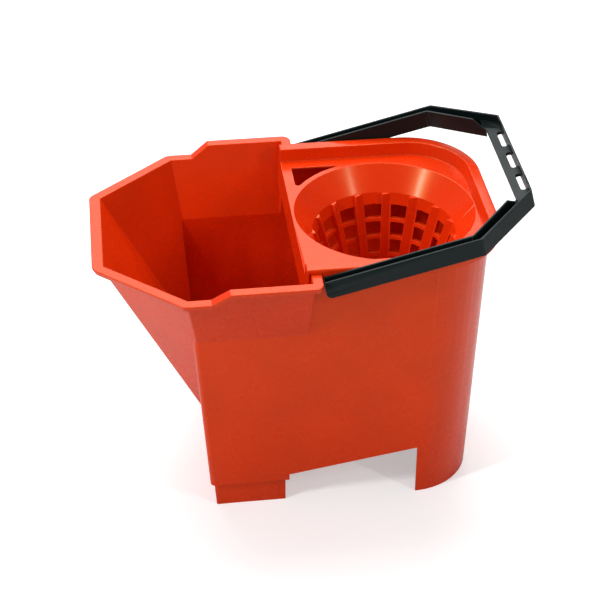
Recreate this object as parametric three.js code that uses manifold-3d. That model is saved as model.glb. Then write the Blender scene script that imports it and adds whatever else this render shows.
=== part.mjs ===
// Mop bucket with a pouring bowl, a lift-out cone wringer and a swinging carry handle.
//
// Millimetres, +Z up, -X towards the pouring lip, +X towards the wringer, Y across.
// Every shape is drawn with x = 0 where the wide bowl rim steps in to the wringer's seat and
// z = 0 at the top of the high rim. The outermost group then moves that drawing so that the
// origin lies on the floor, on the plane of symmetry, under the middle of the whole object.

import * as THREE from 'three';
import { ConvexGeometry } from 'three/addons/geometries/ConvexGeometry.js';
import { mergeVertices } from 'three/addons/utils/BufferGeometryUtils.js';
import Module from 'manifold-3d';

const wasm = await Module();
wasm.setup();

const degrees = THREE.MathUtils.degToRad;

// ---- Driving dimensions -------------------------------------------------------------------

const wall = 2.6; // moulded wall of the bucket
const bucketHeight = 270; // floor to the top of the high rim
const floorZ = -bucketHeight;
const beyond = 400; // reach of a cutting outline past the object

// Main body: a drafted box, flat in front, round at the rear corners.
const body = {
  halfWidth: 106.2, // at the high rim
  sideDraft: degrees(1.0),
  rearX: 172.2, // at the high rim
  rearDraft: degrees(1.8),
  frontX: -109.4, // where the front wall would reach the high rim
  frontDraft: degrees(3.65),
  rearRadius: 60,
  frontRadius: 5,
  flareZ: -14, // above this height the rear wall leans out, round the wringer's dish
  flareDraft: degrees(24),
};

// Pouring bowl: a front facet, two slanting facets, two flared side panels and two end walls.
const bowl = {
  lipX: -183, // front facet at the low rim
  lipHalfWidth: 59,
  lipRootX: -99, // where the front facet meets the body's front wall
  lipRootZ: -176,
  shoulderX: -110, // corner between a slanting facet and a side panel, at the low rim
  halfWidth: 128, // side panels at the high rim
  creaseZ: -70, // where the side panels die into the body
  endX: 2.8, // end walls at the high rim
  endDraft: degrees(3.1),
  edgeRadius: 4,
  endRadius: 1.5, // between the side panels and the end walls
};

// Rim: a flange with a turned-down lip, low round the pouring lip and high beside the wringer.
const rim = {
  lowZ: -12,
  jogFrontX: -88.6,
  jogRearX: -72,
  overhang: 7,
  depth: 5.5,
  thickness: 2.5,
};

// Base: a sloping floor, a stepped front foot that is a sump, and an open rear skirt.
const base = {
  stepZ: -243, // the front foot is narrower below this height
  stepInset: 3.5,
  frontFootEndX: -18.3,
  rearFootStartX: 105,
  undersideFrontZ: -236,
  undersideRearZ: -215,
};

// Wringer: a rim that sits over the bucket's wall, a dish with a plate, a funnel and a cone.
const wringer = {
  frontX: -3.5,
  rearX: 182.2,
  halfWidth: 111.8,
  cornerRadius: 69,
  topZ: 4.6,
  seatZ: 0.3, // underside of the rim, just above the bucket's wall
  skirtZ: -5.2,
  skin: 2.4,
  frontSkirtZ: -36,
  notchX: 10.6, // the rim's skirt is cut away up to here, over the bucket's end walls
};

// Dish inside the rim: its wall leans in from the rim down to the plate.
const dish = {
  halfWidth: 99.8, // at the rim's top
  sideDraft: degrees(6.7),
  rearX: 172.4, // at the rim's top
  rearDraft: degrees(15),
  cornerRadius: 57,
  plateZ: -8,
  skin: 1.7,
};
const cone = {
  x: 83.9,
  topRadius: 85,
  throatRadius: 67.7,
  throatZ: -30.5,
  slope: 0.31, // radius lost for each millimetre of depth below the throat
  bottomZ: -107.4,
  wall: 4.2,
  ribs: 15,
  firstRibAngle: degrees(6.5),
  ribWidth: 9.2,
  ribHeight: 4.8, // at a rib's steep side, from where it slopes down to nothing
  firstWindowZ: -41.9,
  windowHeight: 13.2,
  barHeight: 3.6,
  windowRows: 4,
  drainSlots: 10,
};

// Handle: an open-topped channel bent round the wringer, with a slotted grip.
const handle = {
  pivotX: 23,
  pivotZ: -10.6,
  restTilt: degrees(14.28), // how far the grip stands above level
  topAbovePivot: 10.5,
  height: 17.6,
  frontX: -11, // from here on along the arms, measured from the pivot
  outer: { halfWidth: 122.2, bendX: 131.8, gripX: 189.4, cornerHalfWidth: 69.2 },
  inner: { halfWidth: 112.4, bendX: 125.9, gripX: 174.3, cornerHalfWidth: 64.6 },
  cornerRadius: 5, // in plan, at the four bends
  skin: 1.8,
  webBelowTop: 8.2,
  webThickness: 3.3,
  endRun: 8, // length over which the arms' inner flanges slope down to the grip's web
  slotX: 184.6,
  slotLength: 27.6,
  slotWidth: 5.6,
  slotPitch: 39.2,
  pivotRadius: 4.4,
  pivotEndY: 102.7,
  pivotClearance: 0.35,
};

// ---- Solids -------------------------------------------------------------------------------

/** A closed three.js geometry as a manifold solid. */
function solid(geometry) {
  const bare = geometry.clone();
  bare.deleteAttribute('normal');
  bare.deleteAttribute('uv');
  const merged = mergeVertices(bare, 1e-4);
  return new wasm.Manifold(new wasm.Mesh({
    numProp: 3,
    vertProperties: new Float32Array(merged.attributes.position.array),
    triVerts: new Uint32Array(merged.index.array),
  }));
}

/** A manifold solid as a named mesh. */
function meshOf(name, shape, material) {
  const data = shape.getMesh();
  const geometry = new THREE.BufferGeometry();
  geometry.setAttribute('position', new THREE.BufferAttribute(data.vertProperties, 3));
  geometry.setIndex(new THREE.BufferAttribute(data.triVerts, 1));
  geometry.computeVertexNormals();
  const mesh = new THREE.Mesh(geometry, material);
  mesh.name = name;
  return mesh;
}

function union(shapes) {
  return shapes.reduce((sum, shape) => sum.add(shape));
}

/** A plan outline (x, y) raised from zLow to zHigh. */
function raised(shape, zLow, zHigh, curveSegments = 14) {
  const geometry = new THREE.ExtrudeGeometry(shape, {
    depth: zHigh - zLow,
    bevelEnabled: false,
    curveSegments,
  });
  geometry.translate(0, 0, zLow);
  return solid(geometry);
}

/** A side outline (x, z) drawn out across Y, from -halfWidth to halfWidth. */
function across(points, halfWidth = beyond) {
  const outline = points instanceof THREE.Shape
    ? points
    : new THREE.Shape(points.map(([x, z]) => new THREE.Vector2(x, z)));
  const geometry = new THREE.ExtrudeGeometry(outline, {
    depth: 2 * halfWidth,
    bevelEnabled: false,
    curveSegments: 8,
  });
  geometry.translate(0, 0, -halfWidth);
  geometry.rotateX(Math.PI / 2);
  return solid(geometry);
}

/** A ring or disc turned about Z from a closed profile of (radius, z) points. */
function turned(profile, sides) {
  const points = [...profile, profile[0]].map(([r, z]) => new THREE.Vector2(r, z));
  const geometry = new THREE.LatheGeometry(points, sides);
  geometry.rotateX(Math.PI / 2);
  return solid(geometry);
}

/** Copies of a solid turned about Z, evenly spaced from angle first (in radians). */
function roundAbout(shape, count, first = 0) {
  const start = THREE.MathUtils.radToDeg(first);
  return union(Array.from({ length: count }, (_, i) => (
    shape.rotate([0, 0, start + (i * 360) / count])
  )));
}

// ---- Walls: solids bounded by flat, drafted planes ----------------------------------------

/** The plane through a point with the given outward direction. */
function wallAt(point, outward) {
  const normal = new THREE.Vector3(...outward).normalize();
  return new THREE.Plane().setFromNormalAndCoplanarPoint(normal, new THREE.Vector3(...point));
}

/** The plane through three points, facing away from the body's middle. */
function wallThrough(a, b, c) {
  const points = [a, b, c].map((p) => new THREE.Vector3(...p));
  const plane = new THREE.Plane().setFromCoplanarPoints(...points);
  const middle = new THREE.Vector3(0, 0, floorZ / 4);
  return plane.distanceToPoint(middle) > 0 ? plane.negate() : plane;
}

/** Planes that touch a round edge of the given radius between two walls. */
function roundEdge(wallA, wallB, radius, steps) {
  const turn = wallA.normal.angleTo(wallB.normal);
  return Array.from({ length: steps }, (_, i) => {
    const t = (i + 1) / (steps + 1);
    const a = Math.sin((1 - t) * turn) / Math.sin(turn);
    const b = Math.sin(t * turn) / Math.sin(turn);
    const normal = wallA.normal.clone().multiplyScalar(a).addScaledVector(wallB.normal, b);
    const axisA = wallA.constant + radius;
    const axisB = wallB.constant + radius;
    return new THREE.Plane(normal, a * axisA + b * axisB - radius);
  });
}

/** The mirror image of a wall in the plane of symmetry. */
function mirrored(plane) {
  const normal = plane.normal.clone();
  normal.y = -normal.y;
  return new THREE.Plane(normal, plane.constant);
}

/** The solid inside all the walls, each moved in by inset, between two level heights. */
function walled(walls, inset, lowZ, highZ) {
  const planes = walls.map((w) => new THREE.Plane(w.normal, w.constant + inset));
  planes.push(wallAt([0, 0, lowZ], [0, 0, -1]), wallAt([0, 0, highZ], [0, 0, 1]));
  const corners = new Map();
  for (let i = 0; i < planes.length; i += 1) {
    for (let j = i + 1; j < planes.length; j += 1) {
      for (let k = j + 1; k < planes.length; k += 1) {
        const corner = meeting(planes[i], planes[j], planes[k]);
        if (corner && planes.every((p) => p.distanceToPoint(corner) < 1e-6)) {
          corners.set(corner.toArray().map((v) => v.toFixed(3)).join(), corner);
        }
      }
    }
  }
  return solid(new ConvexGeometry([...corners.values()]));
}

/** The point where three planes meet, or null where two of them are nearly parallel. */
function meeting(p, q, r) {
  const [a, b, c] = [p.normal, q.normal, r.normal];
  const matrix = new THREE.Matrix3(a.x, a.y, a.z, b.x, b.y, b.z, c.x, c.y, c.z);
  if (Math.abs(matrix.determinant()) < 1e-6) return null;
  return new THREE.Vector3(-p.constant, -q.constant, -r.constant).applyMatrix3(matrix.invert());
}

// ---- Bucket -------------------------------------------------------------------------------

function bodyWalls() {
  const rear = wallAt([body.rearX, 0, 0], [1, 0, -Math.tan(body.rearDraft)]);
  return wallsWithRear(rear);
}

/** The body's walls where the rear one leans out under the wringer's rim. */
function flaredWalls() {
  const startX = body.rearX + body.flareZ * Math.tan(body.rearDraft);
  const rear = wallAt([startX, 0, body.flareZ], [1, 0, -Math.tan(body.flareDraft)]);
  return wallsWithRear(rear);
}

/** The body's side and front walls joined to the given rear wall by round corners. */
function wallsWithRear(rear) {
  const side = wallAt([0, body.halfWidth, 0], [0, 1, -Math.tan(body.sideDraft)]);
  const front = wallAt([body.frontX, 0, 0], [-1, 0, -Math.tan(body.frontDraft)]);
  const half = [
    side,
    ...roundEdge(side, rear, body.rearRadius, 11),
    ...roundEdge(side, front, body.frontRadius, 7),
  ];
  return [rear, front, ...half, ...half.map(mirrored)];
}

function bowlWalls() {
  const creaseHalfWidth = body.halfWidth + bowl.creaseZ * Math.tan(body.sideDraft);
  const flare = (creaseHalfWidth - bowl.halfWidth) / bowl.creaseZ;
  const panel = wallAt([0, bowl.halfWidth, 0], [0, 1, -flare]);
  const lip = wallThrough(
    [bowl.lipX, 0, rim.lowZ],
    [bowl.lipX, bowl.lipHalfWidth, rim.lowZ],
    [bowl.lipRootX, bowl.lipHalfWidth, bowl.lipRootZ],
  );
  const shoulderY = bowl.halfWidth + flare * rim.lowZ;
  const slant = wallThrough(
    [bowl.shoulderX, shoulderY, rim.lowZ],
    [bowl.lipX, bowl.lipHalfWidth, rim.lowZ],
    [bowl.lipRootX, bowl.lipHalfWidth, bowl.lipRootZ],
  );
  const end = wallAt([bowl.endX, 0, 0], [1, 0, -Math.tan(bowl.endDraft)]);
  const half = [
    panel,
    slant,
    ...roundEdge(panel, slant, bowl.edgeRadius, 4),
    ...roundEdge(slant, lip, bowl.edgeRadius, 4),
    ...roundEdge(panel, end, bowl.endRadius, 7),
  ];
  return [lip, end, ...half, ...half.map(mirrored)];
}

/** The whole outside of the bucket, moved in by inset and left long at top and bottom. */
function bucketHull(inset) {
  const bodyBlock = walled(bodyWalls(), inset, floorZ - 20, 30);
  const bowlBlock = walled(bowlWalls(), inset, -200, 30);
  const flare = walled(flaredWalls(), inset, body.flareZ - 1, 30);
  return union([bodyBlock, bowlBlock, flare]);
}

/** The rim line in side view, moved down by drop. */
function rimLine(drop) {
  return [
    [-beyond, rim.lowZ - drop],
    [rim.jogFrontX, rim.lowZ - drop],
    [rim.jogRearX, -drop],
    [beyond, -drop],
  ];
}

function undersideZ(x) {
  const run = base.rearFootStartX - base.frontFootEndX;
  const slope = (base.undersideRearZ - base.undersideFrontZ) / run;
  return base.undersideFrontZ + slope * (x - base.frontFootEndX);
}

/** Side outline of everything above the underside and the foot's step, raised by lift. */
function aboveUnderside(lift) {
  const footEndX = base.frontFootEndX - lift;
  return [
    [beyond, undersideZ(beyond) + lift],
    [footEndX, undersideZ(footEndX) + lift],
    [footEndX, base.stepZ + lift],
    [-beyond, base.stepZ + lift],
  ];
}

/** Side outline of the front foot below its step, raised by lift and joined to what is above. */
function belowStep(lift) {
  const footEndX = base.frontFootEndX - base.stepInset - lift;
  return [
    [-beyond, base.stepZ + lift + 0.5],
    [footEndX, base.stepZ + lift + 0.5],
    [footEndX, floorZ + lift],
    [-beyond, floorZ + lift],
  ];
}

function bucketOutside() {
  const upper = bucketHull(0).intersect(across([...rimLine(0), ...aboveUnderside(0)]));
  const block = (inset) => walled(bodyWalls(), inset, floorZ - 20, 30);
  const foot = block(base.stepInset).intersect(across(belowStep(0)));
  const skirtOutline = [
    [base.rearFootStartX, undersideZ(base.rearFootStartX) + 1],
    [beyond, undersideZ(beyond) + 1],
    [beyond, floorZ],
    [base.rearFootStartX, floorZ],
  ];
  const skirt = block(0).subtract(block(wall)).intersect(across(skirtOutline));
  return union([upper, foot, skirt]);
}

function bucketCavity() {
  const room = [[-beyond, 30], [beyond, 30], ...aboveUnderside(wall)];
  const main = bucketHull(wall).intersect(across(room));
  const sump = walled(bodyWalls(), wall + base.stepInset, floorZ - 20, 30)
    .intersect(across(belowStep(wall)));
  return main.add(sump);
}

/** The rim flange: a flat top and a turned-down lip, hollow underneath. */
function rimFlange() {
  const bowlBlock = (inset) => walled(bowlWalls(), inset, -200, 30);
  const band = (from, to) => across([...rimLine(from), ...rimLine(to).reverse()]);
  const flange = bowlBlock(-rim.overhang).intersect(band(0, rim.depth));
  const hollow = bowlBlock(rim.thickness - rim.overhang)
    .subtract(bowlBlock(0))
    .intersect(band(rim.thickness, rim.depth + 1));
  return flange.subtract(hollow);
}

function pivotHoles() {
  const radius = handle.pivotRadius + handle.pivotClearance;
  const geometry = new THREE.CylinderGeometry(radius, radius, 2 * (body.halfWidth + 4), 24);
  geometry.translate(handle.pivotX, 0, handle.pivotZ);
  return solid(geometry);
}

function bucketBody() {
  return bucketOutside().add(rimFlange()).subtract(bucketCavity()).subtract(pivotHoles());
}

// ---- Wringer ------------------------------------------------------------------------------

/** The wringer's plan outline, moved in by inset, starting at frontX. */
function wringerPlan(inset, frontX) {
  const halfWidth = wringer.halfWidth - inset;
  const rearX = wringer.rearX - inset;
  const radius = wringer.cornerRadius - inset;
  const shape = new THREE.Shape();
  shape.moveTo(frontX, -halfWidth);
  shape.lineTo(rearX - radius, -halfWidth);
  shape.absarc(rearX - radius, radius - halfWidth, radius, -Math.PI / 2, 0);
  shape.lineTo(rearX, halfWidth - radius);
  shape.absarc(rearX - radius, halfWidth - radius, radius, 0, Math.PI / 2);
  shape.lineTo(frontX, halfWidth);
  shape.closePath();
  return shape;
}

/** The room inside the dish, with its walls moved in by inset, down to floorHeight. */
function dishRoom(inset, floorHeight) {
  const top = wringer.topZ;
  const side = wallAt([0, dish.halfWidth, top], [0, 1, -Math.tan(dish.sideDraft)]);
  const rear = wallAt([dish.rearX, 0, top], [1, 0, -Math.tan(dish.rearDraft)]);
  const front = wallAt([wringer.frontX + inset - 1, 0, 0], [-1, 0, 0]);
  const half = [side, ...roundEdge(side, rear, dish.cornerRadius, 11)];
  return walled([rear, front, ...half, ...half.map(mirrored)], inset, floorHeight, top + 1);
}

/** Rim, dish and plate in one tray, hollow under the rim, before the funnel is cut through. */
function wringerTray() {
  const { skin, frontX, skirtZ, seatZ, topZ } = wringer;
  const rimBlock = raised(wringerPlan(0, frontX), skirtZ, topZ);
  const underRim = raised(wringerPlan(skin, frontX), skirtZ - 1, seatZ);
  const inFront = across([[-beyond, -beyond], [frontX, -beyond], [frontX, 30], [-beyond, 30]]);
  const above = across([[-beyond, topZ], [beyond, topZ], [beyond, 30], [-beyond, 30]]);
  const shell = dishRoom(-dish.skin, dish.plateZ - dish.skin).subtract(inFront).subtract(above);
  const rimAndShell = rimBlock.subtract(underRim).subtract(rimNotch()).add(shell);
  return rimAndShell.subtract(dishRoom(0, dish.plateZ));
}

/** What is cut from the rim's skirt, so that the rim passes over the bucket's end walls. */
function rimNotch() {
  return across([
    [wringer.frontX - 1, wringer.skirtZ - 1],
    [wringer.notchX, wringer.skirtZ - 1],
    [wringer.notchX, wringer.seatZ],
    [wringer.frontX - 1, wringer.seatZ],
  ]);
}

/** The skirt that hangs from the plate's front edge, as wide as the rim. */
function frontSkirt() {
  const { skin, frontX, frontSkirtZ, topZ, halfWidth } = wringer;
  const { plateZ } = dish;
  const lean = (z) => frontX + (z - plateZ) * Math.tan(bowl.endDraft);
  const sheet = across([
    [frontX, topZ],
    [frontX, plateZ],
    [lean(frontSkirtZ), frontSkirtZ],
    [lean(frontSkirtZ) + skin, frontSkirtZ],
    [frontX + skin, plateZ],
    [frontX + skin, topZ],
  ], halfWidth);
  return sheet.subtract(dishRoom(0, plateZ));
}

/** A three-cornered hole at one front corner of the plate, its long side round the funnel. */
function cornerHole() {
  const left = 6;
  const top = 85;
  const radius = cone.topRadius + 5;
  const round = 3; // radius of the corner between the short side and the long one
  const roundX = left + round;
  const roundY = Math.sqrt((radius + round) ** 2 - (cone.x - roundX) ** 2);
  const touch = Math.PI - Math.asin(roundY / (radius + round));
  const shape = new THREE.Shape();
  shape.moveTo(left, top);
  shape.lineTo(left, roundY);
  shape.absarc(roundX, roundY, round, Math.PI, touch + Math.PI, false);
  shape.absarc(cone.x, 0, radius, touch, Math.PI - Math.asin(top / radius), true);
  shape.closePath();
  return raised(shape, dish.plateZ - 10, dish.plateZ + 1);
}

function coneRadius(z) {
  return cone.throatRadius - cone.slope * (cone.throatZ - z);
}

/** A ring round the cone's axis, turned so that one of its flats faces each rib. */
function coneRing(profile) {
  const sides = 4 * cone.ribs;
  const turn = THREE.MathUtils.radToDeg(cone.firstRibAngle) + 180 / sides;
  return turned(profile, sides).rotate([0, 0, turn]);
}

/** The cone's wall between two heights, thickened by extra on both sides. */
function coneWall(lowZ, highZ, extra = 0) {
  return coneRing([
    [coneRadius(lowZ) - extra, lowZ],
    [coneRadius(lowZ) + cone.wall + extra, lowZ],
    [coneRadius(highZ) + cone.wall + extra, highZ],
    [coneRadius(highZ) - extra, highZ],
  ]);
}

/** Slabs standing where the ribs stand, through the whole thickness of the wall. */
function ribSlabs() {
  const reach = cone.topRadius;
  const slab = across([[10, cone.bottomZ - 9], [reach, cone.bottomZ - 9], [reach, 0], [10, 0]],
    cone.ribWidth / 2);
  return roundAbout(slab, cone.ribs, cone.firstRibAngle);
}

/** The ribs inside the cone: wedges with one steep side, and level tops at the throat. */
function coneRibs() {
  const { throatZ, bottomZ, ribHeight, ribWidth } = cone;
  const section = (z, wallZ) => {
    const radius = coneRadius(wallZ);
    return [
      [radius + 1, ribWidth / 2 - 0.1, z],
      [radius - ribHeight, ribWidth / 2 - 0.1, z],
      [radius + 0.5, 0.1 - ribWidth / 2, z],
      [radius + 1, 0.1 - ribWidth / 2, z],
    ].map((p) => new THREE.Vector3(...p));
  };
  const corners = [...section(throatZ - 0.5, throatZ), ...section(bottomZ + 0.5, bottomZ)];
  return roundAbout(solid(new ConvexGeometry(corners)), cone.ribs, cone.firstRibAngle);
}

/** The rows of windows between the ribs. */
function coneWindows() {
  const pitch = cone.windowHeight + cone.barHeight;
  const rows = Array.from({ length: cone.windowRows }, (_, row) => {
    const top = cone.firstWindowZ - row * pitch;
    return coneWall(top - cone.windowHeight, top, cone.wall);
  });
  return union(rows).subtract(ribSlabs());
}

/** The cone's drained bottom: a disc with radial slots round a raised middle. */
function coneBottom() {
  const thickness = cone.barHeight;
  const z = cone.bottomZ;
  const disc = coneRing([
    [0, z],
    [coneRadius(z) + 1, z],
    [coneRadius(z) + 1, z + thickness],
    [14, z + thickness],
    [8, z + 3 * thickness],
    [0, z + 3 * thickness],
  ]);
  const slot = raised(slotOutline(18, 34, 4), z - 1, z + thickness + 1);
  return disc.subtract(roundAbout(slot, cone.drainSlots));
}

/** A slot with round ends, from x = start to x = end, centred on y = 0. */
function slotOutline(start, end, width) {
  const radius = width / 2;
  const shape = new THREE.Shape();
  shape.absarc(start + radius, 0, radius, Math.PI / 2, (3 * Math.PI) / 2);
  shape.absarc(end - radius, 0, radius, -Math.PI / 2, Math.PI / 2);
  shape.closePath();
  return shape;
}

function funnel() {
  const { plateZ, skin } = dish;
  return coneRing([
    [cone.topRadius, plateZ],
    [cone.throatRadius, cone.throatZ],
    [coneRadius(cone.throatZ - 1), cone.throatZ - 1],
    [cone.throatRadius + cone.wall - 0.5, cone.throatZ - 1],
    [cone.topRadius + skin, plateZ - skin / 2],
    [cone.topRadius + skin, plateZ],
  ]);
}

function wringerBody() {
  const opening = coneRing([
    [0, dish.plateZ - 12],
    [cone.topRadius + 1, dish.plateZ - 12],
    [cone.topRadius + 1, dish.plateZ + 2],
    [0, dish.plateZ + 2],
  ]);
  const atCone = (shape) => shape.translate([cone.x, 0, 0]);
  const tray = wringerTray().add(frontSkirt());
  const plateRing = tray.subtract(atCone(opening)).subtract(cornerHole());
  const basket = coneWall(cone.bottomZ, cone.throatZ).add(coneRibs()).subtract(coneWindows());
  const coneParts = union([funnel(), basket, coneBottom()]);
  return plateRing.add(atCone(coneParts));
}

// ---- Handle -------------------------------------------------------------------------------

/** One side's corners of an outline of the handle, with each edge moved in by inset. */
function handleCorners(edge, inset) {
  const along = new THREE.Vector2(edge.gripX - edge.bendX, edge.cornerHalfWidth - edge.halfWidth);
  const outward = new THREE.Vector2(-along.y, along.x).normalize();
  const reach = outward.dot(new THREE.Vector2(edge.bendX, edge.halfWidth)) - inset;
  const y = edge.halfWidth - inset;
  const end = edge.gripX - inset;
  return {
    y,
    bend: (reach - outward.y * y) / outward.x,
    end,
    endY: (reach - outward.x * end) / outward.y,
  };
}

/** The handle's plan between its outer edge, moved in by outset, and its inner edge, moved out. */
function handlePlan(outset, inset) {
  const outer = handleCorners(handle.outer, outset);
  const inner = handleCorners(handle.inner, -inset);
  const start = handle.frontX + outset;
  const outerRound = handle.cornerRadius - outset;
  const innerRound = handle.cornerRadius + inset;
  return roundedOutline([
    [start, -outer.y, 0],
    [outer.bend, -outer.y, outerRound],
    [outer.end, -outer.endY, outerRound],
    [outer.end, outer.endY, outerRound],
    [outer.bend, outer.y, outerRound],
    [start, outer.y, 0],
    [start, inner.y, 0],
    [inner.bend, inner.y, innerRound],
    [inner.end, inner.endY, innerRound],
    [inner.end, -inner.endY, innerRound],
    [inner.bend, -inner.y, innerRound],
    [start, -inner.y, 0],
  ]);
}

/** An outline from corners given as (x, y, radius), each rounded by an arc of its radius. */
function roundedOutline(corners) {
  const shape = new THREE.Shape();
  corners.forEach(([x, y, radius], i) => {
    const corner = new THREE.Vector2(x, y);
    const [before, after] = [i - 1, i + 1].map((n) => {
      const [nextX, nextY] = corners[(n + corners.length) % corners.length];
      return new THREE.Vector2(nextX, nextY).sub(corner).normalize();
    });
    const half = before.angleTo(after) / 2;
    const reach = radius / Math.tan(half);
    const start = before.multiplyScalar(reach).add(corner);
    const end = after.multiplyScalar(reach).add(corner);
    if (i === 0) shape.moveTo(start.x, start.y);
    else shape.lineTo(start.x, start.y);
    if (radius > 0) shape.quadraticCurveTo(corner.x, corner.y, end.x, end.y);
  });
  shape.closePath();
  return shape;
}

/** Side view of the handle: the arms' front ends are rounded, more below than above. */
function handleSide() {
  const { frontX, topAbovePivot, height } = handle;
  const low = topAbovePivot - height;
  const shape = new THREE.Shape();
  shape.moveTo(beyond, low);
  shape.lineTo(beyond, topAbovePivot);
  shape.lineTo(frontX + 2.5, topAbovePivot);
  shape.quadraticCurveTo(frontX, topAbovePivot, frontX, topAbovePivot - 2.5);
  shape.lineTo(frontX, low + 6);
  shape.quadraticCurveTo(frontX, low, frontX + 6, low);
  shape.closePath();
  return across(shape);
}

/** Everything from x = start on, between two heights. */
function fromX(start, lowZ, highZ) {
  return across([[start, lowZ], [beyond, lowZ], [beyond, highZ], [start, highZ]]);
}

function pivotStubs() {
  const length = handle.inner.halfWidth + 1 - handle.pivotEndY;
  const stub = new THREE.CylinderGeometry(handle.pivotRadius, handle.pivotRadius, length, 24);
  stub.translate(0, handle.pivotEndY + length / 2, 0);
  const right = solid(stub);
  return right.add(right.mirror([0, 1, 0]));
}

function handleBody() {
  const { topAbovePivot, height, skin, webBelowTop, webThickness, endRun, inner } = handle;
  const bottom = topAbovePivot - height;
  const top = topAbovePivot + 1;
  const web = topAbovePivot - webBelowTop;
  const webStart = inner.gripX - 2;
  const pastInner = -4; // carries a cut out past the inner edge
  const inPlan = (outset, inset, lowZ, highZ) => raised(handlePlan(outset, inset), lowZ, highZ, 5);
  const blank = inPlan(0, 0, bottom, topAbovePivot).intersect(handleSide());
  const channel = inPlan(skin, skin, bottom + skin, top).subtract(fromX(webStart, bottom, top));
  const slopedEnd = across([
    [webStart - 0.1, web],
    [beyond, web],
    [beyond, top],
    [webStart - endRun, top],
  ]);
  const overWeb = inPlan(skin, pastInner, web, top).intersect(slopedEnd);
  const underWeb = inPlan(skin, pastInner, bottom - 1, web - webThickness)
    .intersect(fromX(webStart + skin, bottom - 2, web));
  const hollow = union([channel, overWeb, underWeb, gripSlots(web)]);
  return blank.subtract(hollow).add(pivotStubs());
}

function gripSlots(web) {
  const { slotX, slotLength, slotWidth, slotPitch, webThickness } = handle;
  const outline = slotOutline(-slotLength / 2, slotLength / 2, slotWidth);
  const slot = raised(outline, web - webThickness - 1, web + 1).rotate([0, 0, 90]);
  return union([-1, 0, 1].map((n) => slot.translate([slotX, n * slotPitch, 0])));
}

// ---- Assembly -----------------------------------------------------------------------------

const redPlastic = { color: 0xd93a12, roughness: 0.38, metalness: 0 };
const blackPlastic = { color: 0x1b2424, roughness: 0.5, metalness: 0 };

const handleFrame = new THREE.Group();
handleFrame.position.set(handle.pivotX, 0, handle.pivotZ);
handleFrame.rotation.y = -handle.restTilt;
handleFrame.add(meshOf('handle', handleBody(), new THREE.MeshStandardMaterial(blackPlastic)));

const mopBucket = new THREE.Group();
mopBucket.add(
  meshOf('bucket', bucketBody(), new THREE.MeshStandardMaterial(redPlastic)),
  meshOf('wringer', wringerBody(), new THREE.MeshStandardMaterial(redPlastic)),
  handleFrame,
);
mopBucket.updateMatrixWorld(true);
const middle = new THREE.Box3().setFromObject(mopBucket, true).getCenter(new THREE.Vector3());
mopBucket.position.set(-middle.x, 0, bucketHeight);

export default mopBucket;
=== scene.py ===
# The looks of the mop bucket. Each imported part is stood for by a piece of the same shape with
# its moulded edges rounded; the rest is the two plastics, the studio and the camera.
# Metres, +Z up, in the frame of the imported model.

import math

import bmesh
import bpy
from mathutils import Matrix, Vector

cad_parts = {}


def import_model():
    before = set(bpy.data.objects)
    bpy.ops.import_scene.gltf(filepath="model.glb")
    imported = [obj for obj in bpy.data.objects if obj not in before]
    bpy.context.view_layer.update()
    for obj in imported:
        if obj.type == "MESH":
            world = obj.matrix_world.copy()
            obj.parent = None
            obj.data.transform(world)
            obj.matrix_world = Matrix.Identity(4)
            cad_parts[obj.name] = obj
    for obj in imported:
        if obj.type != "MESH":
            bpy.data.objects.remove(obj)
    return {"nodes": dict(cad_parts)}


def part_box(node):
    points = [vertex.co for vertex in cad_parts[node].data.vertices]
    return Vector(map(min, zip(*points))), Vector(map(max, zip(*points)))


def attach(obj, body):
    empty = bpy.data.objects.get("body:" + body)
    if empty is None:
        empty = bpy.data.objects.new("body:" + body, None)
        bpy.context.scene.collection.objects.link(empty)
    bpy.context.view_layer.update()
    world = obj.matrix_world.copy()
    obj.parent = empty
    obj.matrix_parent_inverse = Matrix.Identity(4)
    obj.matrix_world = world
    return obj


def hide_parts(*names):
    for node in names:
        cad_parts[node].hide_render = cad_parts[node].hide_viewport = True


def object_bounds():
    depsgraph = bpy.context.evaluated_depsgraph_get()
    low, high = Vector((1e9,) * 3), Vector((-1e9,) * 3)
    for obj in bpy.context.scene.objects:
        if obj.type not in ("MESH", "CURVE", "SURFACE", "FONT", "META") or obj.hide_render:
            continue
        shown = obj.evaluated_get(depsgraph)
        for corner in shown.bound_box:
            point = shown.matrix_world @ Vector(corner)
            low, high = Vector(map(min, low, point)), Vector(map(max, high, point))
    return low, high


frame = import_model()
cad_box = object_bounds()

MM = 0.001
LOW, HIGH = cad_box
RIM_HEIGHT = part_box("bucket")[1].z
COVER_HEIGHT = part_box("wringer")[1].z
GRIP_DEPTH = 18 * MM  # a little more than the grip measures along the object
GRIP_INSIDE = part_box("handle")[1].x - GRIP_DEPTH
SLOT_PITCH = 39.2 * MM
GRIP_SLOTS_REACH = 1.5 * SLOT_PITCH
LOW_RIM_DROP = 14 * MM  # the rim round the pouring lip lies this much lower at most
CONE_AXIS = Vector((75.2, 0, 0)) * MM
FUNNEL_DEPTH = 33 * MM  # below the cover; the crease at the funnel's foot lies just lower
THROAT_HEIGHT = COVER_HEIGHT - FUNNEL_DEPTH
WINDOW_PITCH = 16.8 * MM
FIRST_WINDOW = COVER_HEIGHT - 53.1 * MM  # middle of the top row of windows


# ---- Rounded edges ------------------------------------------------------------------------

LARGEST_CURVE_STEP = math.radians(15.5)  # facets of round stretches turn by less than this
CREASE = math.radians(30)  # edges that turn by less than this are soft creases
CORNER = math.radians(60)  # edges of the basket that stick out by more than this are rounded
FLAT_WITHIN = math.radians(0.3)  # faces that differ by less than this are one flat area
SAME_PLACE = 0.001 * MM
FACES_UP = 0.7  # least upward part of the normal of a top face
FACES_ASIDE = 0.5  # largest upward or downward part of the normal of a side face

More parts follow.
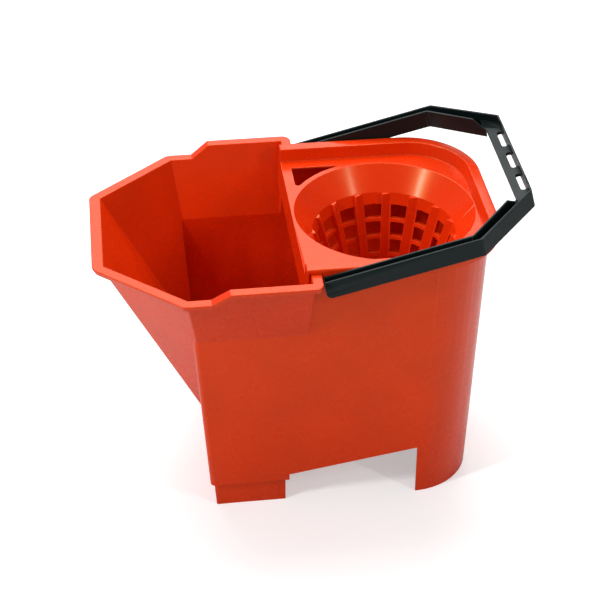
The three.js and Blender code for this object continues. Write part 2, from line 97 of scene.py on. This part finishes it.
# Radii of the rounded edges.
RIM_OUTSIDE = 1.3 * MM
RIM_INSIDE = 0.7 * MM
COVER_OUTSIDE = 1.8 * MM
COVER_INSIDE = 1.0 * MM
WIDEST = COVER_OUTSIDE  # the other radii are given to the modifier as shares of this one
BODY_EDGE = 0.6 * MM
SOFT_CREASE = 0.8 * MM
PLATE_EDGE = 0.4 * MM
BASKET_EDGE = 0.25 * MM
HANDLE_EDGE = 0.35 * MM

STRAIGHT_ON = 0.95  # cosine between two edges above which they run on into each other
SHORTEST_HANDLE_EDGE = 2 * MM


def flat_faced(node, seams):
    """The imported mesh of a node, welded, with flat areas as single faces split at the seams.

    The seams are planes, as (point, direction); they keep every face free of holes.
    """
    bm = bmesh.new()
    bm.from_mesh(frame["nodes"][node].data)
    bmesh.ops.remove_doubles(bm, verts=bm.verts, dist=SAME_PLACE)
    bmesh.ops.dissolve_limit(
        bm,
        angle_limit=FLAT_WITHIN,
        use_dissolve_boundaries=False,
        verts=bm.verts,
        edges=bm.edges,
    )
    for point, direction in seams:
        everything = [*bm.verts, *bm.edges, *bm.faces]
        bmesh.ops.bisect_plane(bm, geom=everything, dist=SAME_PLACE, plane_co=point,
                               plane_no=direction)
    return bm


def middle_of(edge):
    return (edge.verts[0].co + edge.verts[1].co) / 2


def top_edge_side(edge, centre_x):
    """1 for an outer edge of a top face, -1 for an inner one and 0 for any other edge."""
    aside, up = sorted((face.normal for face in edge.link_faces), key=lambda n: n.z)
    if up.z < FACES_UP or abs(aside.z) > FACES_ASIDE:
        return 0
    outward = middle_of(edge) - Vector((centre_x, 0, 0))
    return 1 if aside.x * outward.x + aside.y * outward.y > 0 else -1


def is_roomy(edge, length, room):
    """Whether an edge is this long, and so are the edges that leave it at an angle."""
    if edge.calc_length() < length:
        return False
    along = (edge.verts[1].co - edge.verts[0].co).normalized()
    for vert in edge.verts:
        for other in vert.link_edges:
            reach = other.other_vert(vert).co - vert.co
            turns = abs(reach.normalized().dot(along)) < STRAIGHT_ON
            if turns and reach.length < room:
                return False
    return True


def bucket_radius(edge):
    side = top_edge_side(edge, 0)
    if side and middle_of(edge).z > RIM_HEIGHT - LOW_RIM_DROP:
        return RIM_OUTSIDE if side > 0 else RIM_INSIDE
    if is_roomy(edge, 8 * MM, 2 * MM):
        return SOFT_CREASE if edge.calc_face_angle() < CREASE else BODY_EDGE
    return 0


def wringer_radius(edge):
    height = middle_of(edge).z
    side = top_edge_side(edge, CONE_AXIS.x)
    if side and height > COVER_HEIGHT - 0.5 * MM:
        return COVER_OUTSIDE if side > 0 else COVER_INSIDE
    if not is_roomy(edge, 3 * MM, 1.5 * MM):
        return 0
    if height > THROAT_HEIGHT:
        return PLATE_EDGE
    return BASKET_EDGE if edge.calc_face_angle_signed() > CORNER else 0


def handle_radius(edge):
    middle = middle_of(edge)
    in_slot = middle.x > GRIP_INSIDE and abs(middle.y) < GRIP_SLOTS_REACH
    is_slot_edge = in_slot and edge.calc_length() < SLOT_PITCH / 2 + MM
    return 0 if is_slot_edge or edge.calc_length() < SHORTEST_HANDLE_EDGE else HANDLE_EDGE


def mesh_with_edge_weights(name, bm, radius_of):
    """The mesh of a piece; edges to be rounded carry a weight, the rest of its edges are sharp."""
    weights = bm.edges.layers.float.new("bevel_weight_edge")
    for edge in bm.edges:
        if edge.calc_face_angle(0) > LARGEST_CURVE_STEP:
            edge[weights] = radius_of(edge) / WIDEST
            edge.smooth = edge[weights] > 0
    for face in bm.faces:
        face.smooth = True
    mesh = bpy.data.meshes.new(name)
    bm.to_mesh(mesh)
    bm.free()
    mesh.materials.clear()
    return mesh


def round_edges(piece):
    """Rounds the weighted edges and keeps the flat areas looking flat."""
    bevel = piece.modifiers.new("rounded edges", "BEVEL")
    bevel.limit_method = "WEIGHT"
    bevel.width = WIDEST
    bevel.segments = 3
    bevel.use_clamp_overlap = False
    bevel.miter_outer = "MITER_SHARP"
    normals = piece.modifiers.new("flat areas stay flat", "WEIGHTED_NORMAL")
    normals.weight = 90
    normals.keep_sharp = True


def rounded_piece(name, node, seams, radius_of, material):
    """Adds a piece that stands for a node: its shape with rounded edges."""
    mesh = mesh_with_edge_weights(name, flat_faced(node, seams), radius_of)
    mesh.materials.append(material)
    piece = bpy.data.objects.new(name, mesh)
    bpy.context.scene.collection.objects.link(piece)
    round_edges(piece)
    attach(piece, node)
    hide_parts(node)


# ---- Materials ----------------------------------------------------------------------------


class Graph:
    """Adds nodes to a material and links them."""

    def __init__(self, name):
        self.material = bpy.data.materials.new(name)
        self.material.use_nodes = True
        self.tree = self.material.node_tree
        self.shader = self.tree.nodes["Principled BSDF"]

    def node(self, kind, inputs=(), **settings):
        """A node with its settings; inputs maps a socket to a value or another socket."""
        node = self.tree.nodes.new("ShaderNode" + kind)
        for key, value in settings.items():
            setattr(node, key, value)
        for socket, value in dict(inputs).items():
            self.put(node.inputs[socket], value)
        return node

    def put(self, socket, value):
        if isinstance(value, bpy.types.NodeSocket):
            self.tree.links.new(value, socket)
        else:
            socket.default_value = value

    def noise(self, scale, detail=2.0):
        """Noise in metres of the object's own space, in cells of 1 / scale."""
        where = self.node("TexCoord").outputs["Object"]
        inputs = {"Vector": where, "Scale": scale, "Detail": detail, "Roughness": 0.55}
        return self.node("TexNoise", inputs).outputs["Fac"]

    def spread(self, value, low, high, start=0.3, end=0.7):
        """A value from start to end, spread over low to high."""
        inputs = {"Value": value, "From Min": start, "From Max": end,
                  "To Min": low, "To Max": high}
        return self.node("MapRange", inputs).outputs["Result"]

    def mixed(self, share, colour_a, colour_b):
        node = self.node("Mix", data_type="RGBA")
        self.put(node.inputs["Factor"], share)
        self.put(node.inputs["A"], colour_a)
        self.put(node.inputs["B"], colour_b)
        return node.outputs["Result"]

    def edges(self, radius):
        """1 on the sharp edges of the object and 0 on its flat areas."""
        rounded = self.node("Bevel", {"Radius": radius}, samples=4).outputs["Normal"]
        flat = self.node("NewGeometry").outputs["Normal"]
        facing = self.node("VectorMath", {0: rounded, 1: flat}, operation="DOT_PRODUCT")
        return self.spread(facing.outputs["Value"], 1.0, 0.0, 0.93, 0.998)


def plastic(name, colour, worn, tint, gloss, coat, roughness, wear):
    """Moulded plastic: a mottled colour, a fine orange-peel skin and edges rubbed paler.

    The coat adds white highlights over the ones that the tint colours.
    """
    g = Graph(name)
    mottle = g.spread(g.noise(18, 4), 0.0, 1.0)
    darker = tuple(0.9 * c for c in colour)
    body = g.mixed(mottle, (*darker, 1), (*colour, 1))
    rubbed = g.node("Math", {0: g.edges(1.0 * MM), 1: g.spread(g.noise(90, 5), 0.3, wear)},
                    operation="MULTIPLY").outputs["Value"]
    g.put(g.shader.inputs["Base Color"], g.mixed(rubbed, body, (*worn, 1)))
    g.put(g.shader.inputs["Roughness"], g.spread(g.noise(45, 6), roughness[0], roughness[1]))
    g.put(g.shader.inputs["Specular IOR Level"], gloss)
    g.put(g.shader.inputs["Specular Tint"], (*tint, 1))
    g.put(g.shader.inputs["Coat Weight"], coat)
    g.put(g.shader.inputs["Coat Roughness"], 0.16)
    skin = {"Height": g.noise(1500, 2), "Strength": 0.06, "Distance": 0.1 * MM}
    fine = g.node("Bump", skin).outputs["Normal"]
    sink = {"Height": g.noise(24, 2), "Strength": 0.12, "Distance": 0.6 * MM, "Normal": fine}
    g.put(g.shader.inputs["Normal"], g.node("Bump", sink).outputs["Normal"])
    return g.material


def floor_paint():
    g = Graph("floor_paint")
    pale = g.spread(g.noise(3, 3), 0.68, 0.70)
    g.put(g.shader.inputs["Base Color"], g.node("CombineColor", {0: pale, 1: pale, 2: pale})
          .outputs["Color"])
    g.put(g.shader.inputs["Roughness"], 0.9)
    g.put(g.shader.inputs["Specular IOR Level"], 0.1)
    seen = g.node("LightPath").outputs["Is Camera Ray"]
    g.put(g.shader.inputs["Emission Color"], (1, 1, 1, 1))
    g.put(g.shader.inputs["Emission Strength"], g.spread(seen, 0, 0.42, 0, 1))
    return g.material


red = plastic("red_plastic", colour=(0.71, 0.0295, 0.0015), worn=(0.80, 0.09, 0.03),
              tint=(1.0, 0.84, 0.26), gloss=0.34, coat=0.14, roughness=(0.22, 0.32), wear=0.6)
black = plastic("black_plastic", colour=(0.0035, 0.0095, 0.0095), worn=(0.035, 0.048, 0.045),
                tint=(1.0, 1.0, 1.0), gloss=0.2, coat=0.0, roughness=(0.38, 0.50), wear=0.8)


# ---- Studio -------------------------------------------------------------------------------


def add(name, data):
    made = bpy.data.objects.new(name, data)
    bpy.context.scene.collection.objects.link(made)
    return made


def world(strength):
    made = bpy.data.worlds.new("studio")
    made.use_nodes = True
    background = made.node_tree.nodes["Background"]
    background.inputs["Color"].default_value = (1, 1, 1, 1)
    background.inputs["Strength"].default_value = strength
    bpy.context.scene.world = made


def floor(reach):
    mesh = bpy.data.meshes.new("floor")
    corners = [(-reach, -reach, 0), (reach, -reach, 0), (reach, reach, 0), (-reach, reach, 0)]
    mesh.from_pydata(corners, [], [(0, 1, 2, 3)])
    mesh.materials.append(floor_paint())
    add("floor", mesh)


def softbox(name, azimuth, elevation, distance, width, height, power):
    """An area light that faces the object's middle; azimuth 0 stands at -Y, 90 at +X."""
    data = bpy.data.lights.new(name, "AREA")
    data.shape = "RECTANGLE"
    data.size = width
    data.size_y = height
    data.energy = power
    light = add(name, data)
    a, e = math.radians(azimuth), math.radians(elevation)
    out = Vector((math.sin(a) * math.cos(e), -math.cos(a) * math.cos(e), math.sin(e)))
    light.location = (LOW + HIGH) / 2 + distance * out
    light.rotation_euler = out.to_track_quat("Z", "Y").to_euler()


def camera():
    """A long lens, a little to the left of the object's near side and well above it."""
    distance = 1634 * MM
    target = Vector((-4.6, 0, 165.1)) * MM
    azimuth, elevation = math.radians(-6.95), math.radians(35.07)
    data = bpy.data.cameras.new("camera")
    data.sensor_width = 36
    data.lens = 101.8
    eye = add("camera", data)
    back = Vector((
        math.sin(azimuth) * math.cos(elevation),
        -math.cos(azimuth) * math.cos(elevation),
        math.sin(elevation),
    ))
    eye.location = target + distance * back
    eye.rotation_euler = back.to_track_quat("Z", "Y").to_euler()
    bpy.context.scene.camera = eye


# ---- The object in its studio -------------------------------------------------------------

ALONG_X, ALONG_Y, ALONG_Z = Vector((1, 0, 0)), Vector((0, 1, 0)), Vector((0, 0, 1))
middle_seam = (Vector(), ALONG_Y)
bucket_seams = [middle_seam, (CONE_AXIS, ALONG_X), (-CONE_AXIS, ALONG_X)]
wringer_seams = [middle_seam, (CONE_AXIS, ALONG_X)]
wringer_seams += [((FIRST_WINDOW - n * WINDOW_PITCH / 2) * ALONG_Z, ALONG_Z) for n in range(-1, 8)]
handle_seams = [(n * SLOT_PITCH / 2 * ALONG_Y, ALONG_Y) for n in range(-3, 4)]

rounded_piece("bucket_shell", "bucket", bucket_seams, bucket_radius, red)
rounded_piece("wringer_shell", "wringer", wringer_seams, wringer_radius, red)
rounded_piece("handle_bow", "handle", handle_seams, handle_radius, black)

world(0.35)
floor(6)
softbox("overhead", 186, 66, 2.0, 1.8, 1.4, 46)
softbox("behind", 183, 35, 2.2, 1.6, 0.8, 8)
softbox("left window", -64, 36.5, 2.2, 0.10, 0.65, 21)
softbox("right window", 46, 32.7, 2.2, 0.10, 0.7, 9)
camera()
bpy.context.scene.view_settings.view_transform = "Standard"
